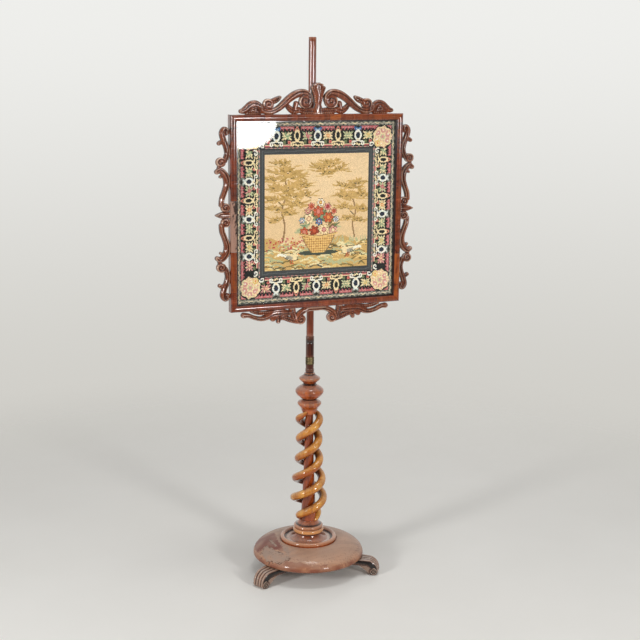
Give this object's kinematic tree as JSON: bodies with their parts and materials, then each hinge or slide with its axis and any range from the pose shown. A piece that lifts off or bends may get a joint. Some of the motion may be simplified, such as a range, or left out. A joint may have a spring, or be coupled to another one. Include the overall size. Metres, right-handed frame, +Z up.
{
  "type": "pole screen",
  "caption": "Victorian wooden pole screen: framed needlework under glass slides and swivels on a pole above an open-twist column, round platform and scroll feet.",
  "frame": {"origin": "on the floor, on the axis of the pole", "axes": "+Z up along the pole, +X along the width of the screen to the right of someone who looks at the needlework, +Y from the needlework to the back"},
  "size_m": [0.559, 0.3525, 1.45],
  "materials": {
    "platform_wood": "worn, dusty varnish on turned rosewood",
    "foot_wood": "dark carved wood with worn reeds",
    "column_wood": "french-polished turned wood",
    "core_wood": "french-polished red-brown pillar",
    "strand_wood": "honey brown, glossy, worn on the crests",
    "pole_wood": "polished straight-grained rosewood",
    "frame_veneer": "cross-banded rosewood veneer, polished",
    "carved_wood": "carved rosewood, worn ridges and dark hollows",
    "ebonised_wood": "black stained",
    "pine": "plain softwood, aged",
    "back_panel": "thin aged panel, matt",
    "needlework": "wool and silk stitches on canvas",
    "glass": "clear old glass",
    "brass": "lacquered cast brass, dulled",
    "old_brass": "dull olive brass",
    "iron": "dark oxidised iron"
  },
  "bodies": {
    "stand": {"base_platform": "platform_wood", "foot_left": "foot_wood", "foot_right": "foot_wood", "foot_back": "foot_wood", "foot_screws": "iron", "column_screw": "iron", "column_washer": "iron", "column_base": "column_wood", "core_pillar": "core_wood", "twist_strand_1": "strand_wood", "twist_strand_2": "strand_wood", "column_top": "column_wood", "pole_lower": "pole_wood", "pole_ferrule": "old_brass", "pole_peg": "pine", "pole_upper": "pole_wood"},
    "slide": {"slide_bush": "brass", "bush_ring": "brass"},
    "screen": {"upper_bracket": "brass", "lower_bracket": "brass", "bracket_screws": "brass", "rail_top": "frame_veneer", "rail_bottom": "frame_veneer", "stile_left": "frame_veneer", "stile_right": "frame_veneer", "glass_pane": "glass", "glazing_fillets": "ebonised_wood", "needlework_panel": "needlework", "stretcher_board": "pine", "back_board": "back_panel", "back_pins": "iron", "crest_carving": "carved_wood", "side_carving_left": "carved_wood", "side_carving_right": "carved_wood", "apron_carving": "carved_wood", "carving_pegs": "pine"},
    "thumbscrew": {"thumbscrew": "brass"}
  },
  "joints": [
    {"name": "height_slide", "type": "slide", "parent": "stand", "child": "slide", "axis": [0, 0, 1], "range_m": [-0.08, 0.18]},
    {"name": "screen_swivel", "type": "hinge", "parent": "slide", "child": "screen", "pos_m": [0, 0, 1.25], "axis": [0, 0, 1], "continuous": true},
    {"name": "thumbscrew_turn", "type": "hinge", "parent": "screen", "child": "thumbscrew", "pos_m": [0, 0.03, 1.25], "axis": [0, 1, 0], "range_deg": [0, 360]}
  ]
}
